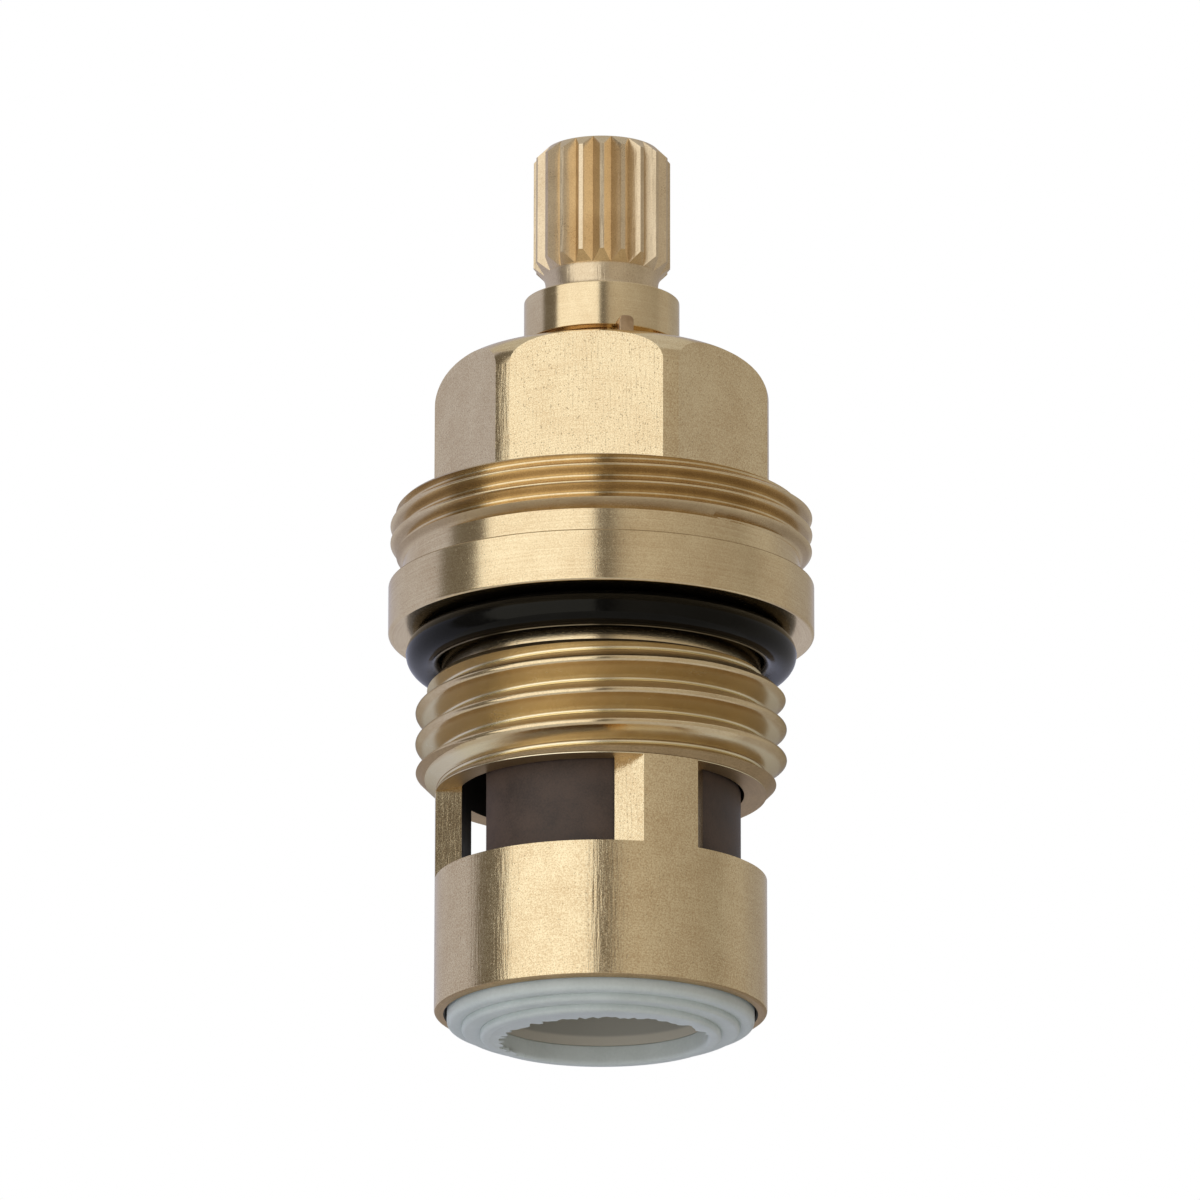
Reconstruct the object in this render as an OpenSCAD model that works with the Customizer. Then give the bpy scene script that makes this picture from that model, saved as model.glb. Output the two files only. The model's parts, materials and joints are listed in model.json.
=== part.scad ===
// Ceramic disc tap cartridge: a half-turn headwork with a splined spindle.
// Millimetres. The origin is the centre of the seat seal's bottom face, on the spindle axis.
// +Z runs up the spindle, and two of the hexagon's flats face -Y and +Y.

/* [Seat seal] */
// Height of each of the two steps below the rim
seal_step_h = 0.37; // [0.2:0.01:0.8]
// Height by which the rim stands out of the body
seal_rim_h = 0.68; // [0.3:0.02:1.2]
// Diameter of the lowest step, which presses on the tap seat
seal_face_d = 13.6; // [12.6:0.1:15.4]
// Diameter of the middle step
seal_mid_d = 15.7; // [14.2:0.1:16.8]
// Diameter of the rim that sits in the mouth of the body
seal_rim_d = 17.3; // [16.2:0.1:17.8]
// Diameter of the water hole
seal_hole_d = 12; // [9:0.1:12.6]
// Height of the lip that carries the support ring
seal_lip_h = 1.1; // [0.5:0.05:2]

/* [Support ring inside the seal] */
// Bore of the support ring
support_bore_d = 12.1; // [10:0.1:13]
// Radial wall of the support ring
support_wall = 0.6; // [0.4:0.05:0.9]
// Height by which the seal stands above the ring, so that the rubber is pressed first
support_setback = 0.4; // [0.1:0.05:1]

/* [Lower ring and cage] */
// Outer diameter of the lower ring and of the cage pillars
cage_d = 18.75; // [18:0.05:19.2]
// Height of the lower ring
ring_h = 7.74; // [6:0.02:9]
// Chamfer round the lower ring's bottom edge
ring_edge = 0.4; // [0.1:0.05:0.5]
// Depth of the counterbore that takes the seal's rim
mouth_depth = 1.8; // [1.2:0.05:2]
// Height of the three windows
window_h = 5.02; // [3.5:0.02:6]
// Distance from the axis to the flat that each window cutter leaves
window_chord = 5.85; // [5:0.05:6.6]

/* [Main thread and flange] */
// Major diameter of the main thread
main_thread_d = 20.955; // [20.2:0.005:22.5]
// Height of the plain band between the windows and the main thread
lintel_h = 0.1; // [0.05:0.05:1]
// Height of the main thread, with the cones at its ends
main_thread_h = 6.48; // [5:0.02:10]
// Height of those cones
main_chamfer = 1.1; // [0.5:0.05:1.3]
// Diameter of the relief that the flange ring sits on
relief_d = 18.1; // [17.4:0.05:18.8]
// Height of the relief
relief_h = 2.65; // [2.3:0.05:4]
// Diameter of the flange
flange_d = 24.2; // [23:0.1:28]
// Height of the flange
flange_h = 2.95; // [1.5:0.05:5]
// Chamfer on both edges of the flange
flange_edge = 0.25; // [0.05:0.05:0.5]
// Cord diameter of the rubber ring under the flange
flange_cord_d = 2; // [1.5:0.05:2.2]

/* [Shroud thread] */
// Diameter of the undercut between flange and shroud thread
undercut_d = 22.6; // [20:0.1:23.4]
// Height of the undercut's straight wall
undercut_h = 1.43; // [0.8:0.01:3]
// Major diameter of the shroud thread
shroud_thread_d = 24; // [23.6:0.1:28]
// Height of the shroud thread, from its lower edge to the top of the ring
shroud_thread_h = 2.43; // [1.5:0.01:5]
// Chamfer at the top of the shroud thread
shroud_chamfer = 0.5; // [0.2:0.05:0.8]

/* [Hexagon] */
// Width across flats
hex_af = 17; // [15.5:0.1:19]
// Diameter to which the six corners are turned
hex_corner_d = 19.1; // [17.4:0.1:19.6]
// Height of the hexagon
hex_h = 8.4; // [5:0.1:14]
// Radius of the shoulder that rounds the top corners
hex_round_r = 2.2; // [0.5:0.1:3]

/* [Discs] */
// Diameter of the moving disc
disc_d = 15.8; // [15.2:0.05:15.9]
// Direction of the moving disc's solid half at rest, from +X towards +Y
disc_angle = -48.6; // [-180:0.1:180]
// Height by which the moving disc reaches above the windows
disc_rise = 0.3; // [0.1:0.05:1]
// Chamfer round the moving disc
disc_edge = 0.2; // [0.05:0.05:0.4]
// Thickness of the fixed disc
fixed_disc_h = 4; // [3:0.1:4.1]
// Diameter of the half-moon port in the fixed disc
port_d = 12; // [9:0.1:13]
// Sealing land between the port's straight edge and the axis
port_land = 0.9; // [0.5:0.05:2]
// Width of the two ears that keep the fixed disc from turning
ear_w = 3; // [2:0.1:5]
// Height of those ears
ear_h = 2; // [1:0.1:2.8]

/* [Spindle drive and stop] */
// Turn from closed to open, in degrees
turn_angle = 180; // [90:1:190]
// Height of the driver flange
driver_h = 3.3; // [2:0.1:5]
// Angle that the stop lug in the body takes up
lug_angle = 30; // [15:1:60]
// Height by which the stop lug clears the driver's lower face
lug_setback = 1; // [0.2:0.1:1.8]
// Thickness of the slip ring above the driver
washer_h = 0.6; // [0.3:0.05:1.2]
// Radial width of the slip ring; the driver's hub, which carries it, follows
washer_wall = 1.4; // [0.9:0.05:1.8]
// Length of the tang that turns the moving disc
tang_l = 7; // [4:0.1:8.5]
// Width of the tang
tang_w = 2.4; // [1.5:0.1:3.2]
// Height of the tang
tang_h = 1.8; // [1:0.1:2.6]
// Distance from the axis to the middle of the tang
tang_offset = 3.9; // [3:0.1:4.6]

/* [Spindle shank] */
// Diameter of the shank and of the collar above the hexagon
shank_d = 8.9; // [8:0.1:10.5]
// Cord diameter of the two rubber rings on the shank
shank_cord_d = 1.4; // [1:0.05:1.8]
// Distance from the body's top face down to the upper ring
shank_ring_drop = 6; // [3:0.1:8]
// Distance between the two rings
shank_ring_pitch = 5; // [3:0.1:7]
// Room that each ring has along its groove
shank_ring_room = 0.5; // [0.2:0.05:1]

/* [Retaining clip] */
// Thickness of the clip
clip_h = 0.8; // [0.5:0.05:1]
// Height of the groove that it snaps into
clip_groove_h = 1.4; // [1.1:0.05:2]
// Floor diameter of that groove
clip_groove_d = 7.3; // [6.6:0.1:7.8]
// Angle left open in the clip
clip_opening = 70; // [40:1:120]
// Direction of the clip's upturned end, from +X towards +Y
clip_ear_angle = -68; // [-180:1:180]
// Width of the upturned end
clip_ear_w = 0.85; // [0.5:0.05:1.5]
// Height of the upturned end above the body's top face
clip_ear_h = 1.8; // [1.5:0.05:2.2]
// Thickness of the upturned end
clip_ear_t = 0.55; // [0.3:0.05:0.8]

/* [Spindle head] */
// Height of the collar above the clip groove
collar_h = 2.6; // [1:0.1:5]
// Diameter of the neck between collar and spline
neck_d = 6.45; // [5:0.05:6.5]
// Height of the neck
neck_h = 1.42; // [0.8:0.02:3]
// Height of the spline, with its chamfers
spline_h = 7.65; // [5:0.05:12]
// Diameter over the spline's tips
spline_tip_d = 7.84; // [7.4:0.02:8]
// Diameter at the spline's roots
spline_root_d = 6.6; // [6.5:0.05:7.2]
// Width of the flat on each tip
spline_land = 0.25; // [0.1:0.01:0.4]
// Number of teeth
spline_teeth = 20; // [16:1:24]
// Direction of one tooth, from +X towards +Y
spline_phase = -84.1; // [-180:0.1:180]
// Chamfer at the spline's upper end
spline_chamfer = 0.65; // [0.2:0.05:0.8]
// Diameter of the tapped hole for the handle screw, at its crests
screw_hole_d = 3.3; // [2.5:0.1:4.2]
// Depth of that hole
screw_hole_depth = 10; // [4:0.5:16]

/* [Clearances] */
// Radial clearance of the shank in the body
shank_clearance = 0.05; // [0.02:0.01:0.1]
// Radial clearance of the moving disc in the body
disc_clearance = 0.2; // [0.1:0.05:0.3]
// Radial clearance of the driver in the body
driver_clearance = 0.35; // [0.2:0.05:0.6]
// Clearance of the fixed disc, its ears and the seal in the body
fixed_clearance = 0.1; // [0.05:0.01:0.15]
// Clearance round a rubber ring in its groove
ring_clearance = 0.03; // [0.01:0.01:0.1]
// Clearance round the tang in its pocket, and of the support ring in the seal
fit_clearance = 0.05; // [0.02:0.01:0.2]
// Running gap between flat faces that slide on each other
axial_gap = 0.05; // [0.02:0.01:0.1]
// Gap between the two lapped disc faces
face_film = 0.02; // [0.01:0.01:0.05]
// Clearance beside the stop lug and round the collar, where parts swing past each other
swing_clearance = 0.25; // [0.1:0.05:0.4]
// Free angle left at each end of the turn
stop_gap_angle = 2; // [0.5:0.5:5]

/* [Hidden] */
$fn = 96;
eps = 0.01;
window_count = 3;
ear_count = 2;

// Radii
cage_r = cage_d / 2;
main_r = main_thread_d / 2;
relief_r = relief_d / 2;
flange_r = flange_d / 2;
undercut_r = undercut_d / 2;
shroud_r = shroud_thread_d / 2;
shank_r = shank_d / 2;
neck_r = neck_d / 2;
tip_r = spline_tip_d / 2;
disc_r = disc_d / 2;
disc_bore_r = disc_r + disc_clearance;
fixed_r = disc_bore_r - fixed_clearance;
driver_r = disc_bore_r - driver_clearance;
mouth_r = seal_rim_d / 2 + fixed_clearance;
ear_groove_r = mouth_r - fixed_clearance;
shank_bore_r = shank_r + shank_clearance;
washer_bore_r = shank_r + 2 * shank_clearance;
washer_r = washer_bore_r + washer_wall;
hub_r = washer_r + fixed_clearance;
shank_groove_r = shank_bore_r - shank_cord_d - 2 * ring_clearance;
support_r = support_bore_d / 2 + support_wall;
clip_bore_r = clip_groove_d / 2 + fit_clearance;
clip_ear_r = shank_r + swing_clearance / 2;
clip_r = norm([clip_ear_r + clip_ear_t, clip_ear_w / 2]) + fit_clearance;

// Heights, from the bottom of the seal to the top of the spindle
z_ring = 2 * seal_step_h + seal_rim_h;
z_mouth = z_ring + mouth_depth;
z_sill = z_ring + ring_h;
z_lintel = z_sill + window_h;
z_thread = z_lintel + lintel_h;
z_relief = z_thread + main_thread_h;
z_flange = z_relief + relief_h;
z_undercut = z_flange + flange_h;
z_shroud_cone = z_undercut + undercut_h;
z_shroud = z_shroud_cone + shroud_r - undercut_r;
z_hex = z_shroud + shroud_thread_h;
z_top = z_hex + hex_h;
z_face = z_sill - axial_gap;
z_fixed = z_face - fixed_disc_h;
z_disc = z_face + face_film;
z_disc_top = z_lintel + disc_rise;
z_driver = z_disc_top + axial_gap;
z_washer = z_driver + driver_h + axial_gap;
z_shoulder = z_washer + washer_h;
z_collar = z_top + clip_groove_h;
z_neck = z_collar + collar_h;
z_spline = z_neck + neck_h;
z_end = z_spline + spline_h;
shank_ring_z = [z_top - shank_ring_drop, z_top - shank_ring_drop - shank_ring_pitch];

// Angles
lug_start = disc_angle - 180 - lug_angle / 2 + turn_angle / 2;
cut_start = lug_start - stop_gap_angle - turn_angle;
cut_angle = turn_angle + lug_angle + 2 * stop_gap_angle;

// Colours
brass = "#c9a45c";
bronze = "#b58a50";
black_rubber = "#1c1c1d";
brown_ceramic = "#54463f";
ivory_ceramic = "#e8e0cd";
pale_silicone = "#c3cdcd";
beige_plastic = "#d6c9ac";
white_plastic = "#ecebe4";

// A solid of revolution from its outline, listed from bottom to top as [radius, height]
module turned(outline) {
    last = outline[len(outline) - 1];
    rotate_extrude()
        polygon(concat([[0, outline[0][1]]], outline, [[0, last[1]]]));
}

// A flat ring, or part of one
module ring(r_in, r_out, z, h, angle = 360) {
    rotate_extrude(angle = angle)
        translate([r_in, z])
            square([r_out - r_in, h]);
}

// Half the section of a turned bar whose upper edge is rounded
module rounded_outline(r, h, round_r) {
    square([r, h - round_r]);
    square([r - round_r, h]);
    intersection() {
        translate([r - round_r, h - round_r])
            circle(r = round_r);
        square([r, h]);
    }
}

// A rubber ring of round section
module o_ring(r_mid, cord_d, z) {
    rotate_extrude()
        translate([r_mid, z])
            circle(d = cord_d);
}

// A slot with round ends, standing on z and lying across the direction of the solid half of the disc
module round_slot(length, width, z, h) {
    rotate(disc_angle)
        translate([tang_offset, 0, z])
            linear_extrude(h) {
                square([width, length - width], center = true);
                for (side = [-1, 1])
                    translate([0, side * (length - width) / 2])
                        circle(d = width);
            }
}

// The two ears of the fixed disc, or the grooves that take them
module ears(r, width, z, h) {
    for (i = [0:ear_count - 1])
        rotate(disc_angle + 90 + i * 360 / ear_count)
            intersection() {
                translate([0, -width / 2, z])
                    cube([r, width, h]);
                cylinder(r = r, h = z + h);
            }
}

// Everything up to the hexagon, turned in one setting
module body_turning() {
    turned([
        [cage_r - ring_edge, z_ring],
        [cage_r, z_ring + ring_edge],
        [cage_r, z_thread],
        [main_r, z_thread + main_chamfer],
        [main_r, z_relief - main_chamfer],
        [main_r - main_chamfer, z_relief],
        [relief_r, z_relief],
        [relief_r, z_flange],
        [flange_r - flange_edge, z_flange],
        [flange_r, z_flange + flange_edge],
        [flange_r, z_undercut - flange_edge],
        [flange_r - flange_edge, z_undercut],
        [undercut_r, z_undercut],
        [undercut_r, z_shroud_cone],
        [shroud_r, z_shroud],
        [shroud_r, z_hex - shroud_chamfer],
        [shroud_r - shroud_chamfer, z_hex]
    ]);
}

// The hexagon, with its corners turned and its shoulder rounded
module body_hexagon() {
    intersection() {
        translate([0, 0, z_hex - eps])
            cylinder(d = hex_af / cos(30), h = hex_h + eps, $fn = 6);
        rotate_extrude()
            translate([0, z_hex - eps])
                rounded_outline(hex_corner_d / 2, hex_h + eps, hex_round_r);
    }
}

// The stepped bore, from the seal's mouth to the top face
module body_bore() {
    turned([
        [mouth_r, z_ring - eps],
        [mouth_r, z_mouth],
        [disc_bore_r, z_mouth],
        [disc_bore_r, z_shoulder],
        [shank_bore_r, z_shoulder],
        [shank_bore_r, z_top + eps]
    ]);
}

// Three flat cuts across the cage, which leave three pillars between them
module body_windows() {
    for (i = [0:window_count - 1])
        rotate(i * 360 / window_count)
            translate([window_chord, -main_r, z_sill])
                cube([main_r, 2 * main_r, window_h]);
}

// The lug in the roof of the bore that stops the driver at both ends of its turn
module stop_lug() {
    rotate(lug_start)
        ring(hub_r + swing_clearance, disc_bore_r + eps, z_driver + lug_setback,
             z_shoulder + eps - z_driver - lug_setback, lug_angle);
}

module headwork_body() {
    color(brass)
        union() {
            difference() {
                union() {
                    body_turning();
                    body_hexagon();
                }
                body_bore();
                body_windows();
                ears(ear_groove_r, ear_w + 2 * fixed_clearance, z_ring,
                     z_fixed + ear_h + fixed_clearance - z_ring);
            }
            stop_lug();
        }
}

module flange_o_ring() {
    color(black_rubber)
        o_ring(relief_r + ring_clearance + flange_cord_d / 2, flange_cord_d,
               z_flange - ring_clearance - flange_cord_d / 2);
}

module thrust_washer() {
    color(white_plastic)
        ring(washer_bore_r, washer_r, z_washer, washer_h);
}

module fixed_disc() {
    color(ivory_ceramic)
        difference() {
            union() {
                translate([0, 0, z_fixed])
                    cylinder(r = fixed_r, h = fixed_disc_h);
                ears(ear_groove_r - fixed_clearance, ear_w, z_fixed, ear_h);
            }
            rotate(disc_angle)
                intersection() {
                    translate([0, 0, z_fixed - eps])
                        cylinder(d = port_d, h = fixed_disc_h + 2 * eps);
                    translate([port_land, -port_d, z_fixed - 2 * eps])
                        cube([port_d, 2 * port_d, fixed_disc_h + 4 * eps]);
                }
        }
}

module seat_seal() {
    color(pale_silicone)
        difference() {
            turned([
                [seal_face_d / 2, 0],
                [seal_face_d / 2, seal_step_h],
                [seal_mid_d / 2, seal_step_h],
                [seal_mid_d / 2, 2 * seal_step_h],
                [seal_rim_d / 2, 2 * seal_step_h],
                [seal_rim_d / 2, z_mouth - axial_gap],
                [fixed_r, z_mouth - axial_gap],
                [fixed_r, z_fixed]
            ]);
            turned([
                [seal_hole_d / 2, -eps],
                [seal_hole_d / 2, seal_lip_h],
                [support_r + fit_clearance, seal_lip_h],
                [support_r + fit_clearance, z_fixed + eps]
            ]);
        }
}

module seal_support_ring() {
    color(beige_plastic)
        ring(support_bore_d / 2, support_r, seal_lip_h, z_fixed - support_setback - seal_lip_h);
}

// The driver: a hub whose rim is cut away over the turn, and the tang below it
module driver() {
    difference() {
        translate([0, 0, z_driver])
            cylinder(r = driver_r, h = driver_h);
        rotate(cut_start)
            ring(hub_r, 2 * driver_r, z_driver - eps, driver_h + 2 * eps, cut_angle);
    }
    round_slot(tang_l, tang_w, z_driver - tang_h, tang_h + eps);
}

// Shank, clip groove, collar and neck
module spindle_turning() {
    turned([
        [shank_r, z_driver + driver_h - eps],
        [shank_r, z_top],
        [clip_groove_d / 2, z_top],
        [clip_groove_d / 2, z_collar],
        [shank_r, z_collar],
        [shank_r, z_neck],
        [neck_r, z_neck],
        [neck_r, z_spline + eps]
    ]);
}

// Straight triangular serrations with a narrow flat on each tip
module spline() {
    tip_half = asin(spline_land / spline_tip_d);
    cone_over = neck_h / 4;
    pitch = 360 / spline_teeth;
    tooth = [[-tip_half, tip_r], [tip_half, tip_r], [pitch / 2, spline_root_d / 2]];
    function at(angle) = [cos(angle), sin(angle)];
    intersection() {
        translate([0, 0, z_neck])
            linear_extrude(z_end - z_neck)
                polygon([
                    for (i = [0:spline_teeth - 1])
                        for (p = tooth)
                            p[1] * at(spline_phase + i * pitch + p[0])
                ]);
        turned([
            [neck_r - cone_over, z_spline - cone_over],
            [tip_r + cone_over, z_spline + tip_r + cone_over - neck_r],
            [tip_r + cone_over, z_end - spline_chamfer - cone_over],
            [tip_r - spline_chamfer, z_end]
        ]);
    }
}

module spindle() {
    color(brass)
        difference() {
            union() {
                driver();
                spindle_turning();
                spline();
            }
            for (z = shank_ring_z)
                ring(shank_groove_r, shank_r + eps, z - (shank_cord_d + shank_ring_room) / 2,
                     shank_cord_d + shank_ring_room);
            translate([0, 0, z_end - screw_hole_depth])
                cylinder(d = screw_hole_d, h = screw_hole_depth + eps);
        }
}

module shank_o_ring(z) {
    color(black_rubber)
        o_ring(shank_groove_r + ring_clearance + shank_cord_d / 2, shank_cord_d, z);
}

module spindle_o_ring_upper() {
    shank_o_ring(shank_ring_z[0]);
}

module spindle_o_ring_lower() {
    shank_o_ring(shank_ring_z[1]);
}

module retaining_clip() {
    ear_rise = clip_ear_h - axial_gap - clip_ear_w / 2;
    color(bronze)
        translate([0, 0, z_top + axial_gap])
            union() {
                rotate(clip_ear_angle - atan(clip_ear_w / clip_ear_r))
                    ring(clip_bore_r, clip_r, 0, clip_h, 360 - clip_opening);
                rotate([90, 0, clip_ear_angle + 90])
                    translate([0, 0, clip_ear_r])
                        linear_extrude(clip_ear_t) {
                            translate([-clip_ear_w / 2, clip_h / 2])
                                square([clip_ear_w, ear_rise - clip_h / 2]);
                            translate([0, ear_rise])
                                circle(d = clip_ear_w);
                        }
            }
}

module moving_disc() {
    color(brown_ceramic)
        difference() {
            turned([
                [disc_r - disc_edge, z_disc],
                [disc_r, z_disc + disc_edge],
                [disc_r, z_disc_top - disc_edge],
                [disc_r - disc_edge, z_disc_top]
            ]);
            rotate(disc_angle)
                translate([-disc_d, -disc_d, z_disc - eps])
                    cube([disc_d, 2 * disc_d, z_disc_top - z_disc + 2 * eps]);
            round_slot(tang_l + 2 * fit_clearance, tang_w + 2 * fit_clearance,
                       z_driver - tang_h - fit_clearance, tang_h + 2 * fit_clearance);
        }
}

headwork_body();
flange_o_ring();
thrust_washer();
fixed_disc();
seat_seal();
seal_support_ring();
spindle();
spindle_o_ring_upper();
spindle_o_ring_lower();
retaining_clip();
moving_disc();
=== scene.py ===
# %% [markdown]
# # A ceramic disc tap cartridge
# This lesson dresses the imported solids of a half-turn tap headwork: a brass body with two threads
# and a hexagon, a splined spindle, ceramic discs behind three windows, and a pale rubber seal below.
# The frame is loaded first. Its nodes stay where they are, and every new piece rides on one of its
# two bodies: the housing, or the spindle unit, which turns half a turn.

# %% Load the frame
import json
import math
import random

import bmesh
import bpy
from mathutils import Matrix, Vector

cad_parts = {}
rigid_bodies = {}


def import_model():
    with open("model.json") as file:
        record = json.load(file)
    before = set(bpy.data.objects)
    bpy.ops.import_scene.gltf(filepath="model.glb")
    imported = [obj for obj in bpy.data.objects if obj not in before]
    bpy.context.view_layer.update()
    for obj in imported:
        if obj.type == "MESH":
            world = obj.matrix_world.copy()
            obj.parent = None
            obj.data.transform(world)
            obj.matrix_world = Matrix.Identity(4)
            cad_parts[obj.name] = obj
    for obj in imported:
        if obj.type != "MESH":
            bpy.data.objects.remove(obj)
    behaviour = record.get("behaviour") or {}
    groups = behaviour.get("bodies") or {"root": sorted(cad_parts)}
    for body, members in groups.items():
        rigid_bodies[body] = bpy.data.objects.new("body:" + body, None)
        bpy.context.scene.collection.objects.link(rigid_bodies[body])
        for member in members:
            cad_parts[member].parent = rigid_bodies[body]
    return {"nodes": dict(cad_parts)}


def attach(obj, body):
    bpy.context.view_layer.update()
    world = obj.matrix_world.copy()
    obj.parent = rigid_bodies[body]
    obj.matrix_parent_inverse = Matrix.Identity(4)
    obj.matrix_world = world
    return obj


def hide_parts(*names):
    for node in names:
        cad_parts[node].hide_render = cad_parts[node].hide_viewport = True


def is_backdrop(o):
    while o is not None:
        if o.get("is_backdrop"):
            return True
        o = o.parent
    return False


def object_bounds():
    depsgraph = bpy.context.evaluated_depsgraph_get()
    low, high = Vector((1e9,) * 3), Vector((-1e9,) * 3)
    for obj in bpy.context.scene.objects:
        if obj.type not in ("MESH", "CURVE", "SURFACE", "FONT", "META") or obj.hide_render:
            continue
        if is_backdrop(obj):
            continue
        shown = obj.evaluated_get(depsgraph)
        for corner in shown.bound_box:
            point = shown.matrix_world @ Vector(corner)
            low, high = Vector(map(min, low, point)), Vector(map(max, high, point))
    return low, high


for leftover in list(bpy.data.objects):
    bpy.data.objects.remove(leftover)
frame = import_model()
cad_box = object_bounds()
nodes = frame["nodes"]
MM = 0.001

# %% [markdown]
# ## Heights and radii
# A turned part is a list of radii and heights, so they are written once here, in millimetres and
# from the bottom of the seal upwards. They follow the solids, which keep the part's real size.

# %% Sizes of the turned body
Z_RING, Z_MOUTH, Z_SILL, Z_LINTEL = 1.42, 3.22, 9.16, 14.18
Z_THREAD, Z_SHOULDER, Z_RELIEF, Z_FLANGE = 14.28, 18.48, 20.76, 23.41
Z_UNDERCUT, Z_SHROUD_CONE, Z_HEX, Z_TOP = 26.36, 27.79, 30.92, 39.32
CAGE_R, MAIN_R, RELIEF_R, FLANGE_R = 9.375, 10.4775, 9.05, 12.1
UNDERCUT_R, SHROUD_R, HEX_AF, HEX_CORNER_R = 11.3, 12.0, 17.0, 9.55
MOUTH_R, DISC_BORE_R, SHANK_R, SHANK_BORE_R = 8.75, 8.1, 4.45, 4.5
MAIN_CHAMFER, SHROUD_CHAMFER, HEX_ROUND = 1.1, 0.5, 2.0
CAMERA_AZIMUTH = 5.9
FRONT = math.radians(CAMERA_AZIMUTH - 90)
print("body from", Z_RING, "to", Z_TOP, "mm, flange", 2 * FLANGE_R, "mm across")

# %% [markdown]
# ## Drawing an outline by extruding one point
# Most pieces here come off a lathe. By hand we would merge a small plane into one point, extrude that
# point along the outline, round some corners with a vertex bevel, and spin the line about the axis.
# The helpers below draw the line. Everything is deselected first, because an operator acts on all
# that is selected, and the frame's nodes are selected after loading.

# %% Helpers for outlines and selections
ROUND_STEPS = 6
MERGE = 1e-7


def draw_line(name, points):
    """Starts a piece as a small plane merged to one point, and extrudes it from point to point."""
    bpy.ops.object.select_all(action="DESELECT")
    bpy.ops.mesh.primitive_plane_add(size=MM)
    piece = bpy.context.object
    piece.name = piece.data.name = name
    bpy.ops.object.mode_set(mode="EDIT")
    bpy.ops.mesh.select_all(action="SELECT")
    bpy.ops.mesh.merge(type="CENTER")
    bpy.ops.transform.translate(value=[c * MM for c in points[0]])
    for here, there in zip(points, points[1:]):
        step = [(b - a) * MM for a, b in zip(here, there)]
        bpy.ops.mesh.extrude_vertices_move(TRANSFORM_OT_translate={"value": step})
    return piece


def pick(piece, kind, test):
    """Selects the vertices, edges or faces that pass a test, and says how many they are."""
    bpy.ops.mesh.select_mode(type=kind)
    bpy.ops.mesh.select_all(action="DESELECT")
    form = bmesh.from_edit_mesh(piece.data)
    items = {"VERT": form.verts, "EDGE": form.edges, "FACE": form.faces}[kind]
    chosen = [item for item in items if test(item)]
    for item in chosen:
        item.select_set(True)
    form.select_flush_mode()
    bmesh.update_edit_mesh(piece.data)
    return len(chosen)


def draw_outline(name, corners, closed=True, round_steps=ROUND_STEPS):
    """Draws a line through corners of radius, height and rounding. A vertex bevel rounds them."""
    path = [(c[0], 0.0, c[1]) for c in corners]
    piece = draw_line(name, path)
    if closed:
        ends = [Vector(path[0]) * MM, Vector(path[-1]) * MM]
        pick(piece, "VERT", lambda v: min((v.co - e).length for e in ends) < MERGE)
        bpy.ops.mesh.edge_face_add()
    for size in sorted({c[2] for c in corners if len(c) > 2}):
        spots = [Vector((c[0], 0.0, c[1])) * MM for c in corners if len(c) > 2 and c[2] == size]
        pick(piece, "VERT", lambda v: min((v.co - s).length for s in spots) < MERGE)
        bpy.ops.mesh.bevel(offset=size * MM, segments=round_steps, affect="VERTICES")
    return piece


print("a rounded corner has", ROUND_STEPS, "steps")

# %% [markdown]
# ## From a line to a piece
# A line becomes a piece by a spin about the axis, or by filling and extruding it. Boxes start as cubes.
# At the end, points that touch are merged and the faces are turned outwards, so that a piece is closed.

# %% Helpers for turned and straight pieces
TURN_STEPS = 192


def close_up(piece):
    """Merges what touches, drops loose edges, turns the faces outwards and leaves edit mode."""
    bpy.ops.mesh.select_mode(type="VERT")
    bpy.ops.mesh.select_all(action="SELECT")
    bpy.ops.mesh.remove_doubles(threshold=MERGE)
    bpy.ops.mesh.delete_loose()
    bpy.ops.mesh.select_all(action="SELECT")
    bpy.ops.mesh.normals_make_consistent(inside=False)
    bpy.ops.object.mode_set(mode="OBJECT")
    return piece


def lathe(name, corners, steps=TURN_STEPS, round_steps=ROUND_STEPS):
    """Spins an outline round the spindle axis. One that starts on the axis needs no closing line."""
    piece = draw_outline(name, corners, closed=corners[0][0] > 0, round_steps=round_steps)
    bpy.ops.mesh.select_all(action="SELECT")
    bpy.ops.mesh.spin(steps=steps, angle=2 * math.pi, center=(0, 0, 0), axis=(0, 0, 1))
    return close_up(piece)


def prism(name, corners, height):
    """A closed line through points in one level plane, filled and extruded upwards."""
    piece = draw_line(name, corners)
    bpy.ops.mesh.select_all(action="SELECT")
    bpy.ops.mesh.edge_face_add()
    bpy.ops.mesh.extrude_region_move(TRANSFORM_OT_translate={"value": (0, 0, height * MM)})
    return close_up(piece)


def block(name, size, middle):
    """A box of this size in millimetres about a middle point, left in edit mode."""
    bpy.ops.object.select_all(action="DESELECT")
    bpy.ops.mesh.primitive_cube_add(size=MM)
    piece = bpy.context.object
    piece.name = piece.data.name = name
    bpy.ops.object.mode_set(mode="EDIT")
    bpy.ops.transform.resize(value=size)
    bpy.ops.transform.translate(value=[c * MM for c in middle])
    return piece


def turn_about_axis(piece, angle):
    """Leaves edit mode and turns the piece about the spindle axis, with the turn kept in its points."""
    bpy.ops.object.mode_set(mode="OBJECT")
    piece.rotation_euler.z = angle
    bpy.ops.object.transform_apply(location=False, rotation=True, scale=False)


def settle(name):
    """Names the piece that was just added, and keeps its place and turn in its points."""
    piece = bpy.context.object
    piece.name = piece.data.name = name
    bpy.ops.object.transform_apply(location=True, rotation=True, scale=True)
    return piece


print("a turned piece has", TURN_STEPS, "steps round its axis")

# %% [markdown]
# ## Joining, cutting and smoothing
# A Boolean modifier joins two pieces or cuts one with the other. A piece is smoothed over its flat edges
# only, and a Weighted Normal modifier keeps its big faces straight.

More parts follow.
